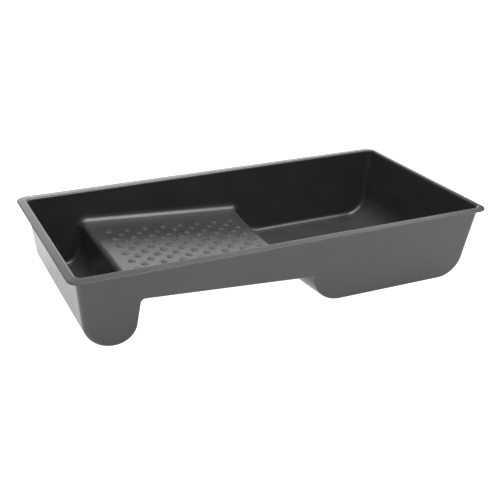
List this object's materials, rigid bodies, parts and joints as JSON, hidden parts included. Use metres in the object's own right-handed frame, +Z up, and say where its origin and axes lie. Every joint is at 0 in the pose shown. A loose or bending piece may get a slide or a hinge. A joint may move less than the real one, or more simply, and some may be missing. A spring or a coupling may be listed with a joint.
{
  "type": "paint roller tray",
  "caption": "One-piece moulded plastic paint tray with a rounded well at the shallow end, a sloping ramp with raised pips, a paint reservoir and a flat lip.",
  "frame": {"origin": "centre of the overall box, on the surface that the tray stands on", "axes": "+X along the tray from the well to the paint reservoir, +Y across it, +Z up towards the lip"},
  "size_m": [0.32, 0.168, 0.057],
  "materials": {
    "tray_plastic": "satin black moulded plastic with a fine even grain"
  },
  "bodies": {
    "root": {"tray_moulding": "tray_plastic"}
  },
  "joints": []
}
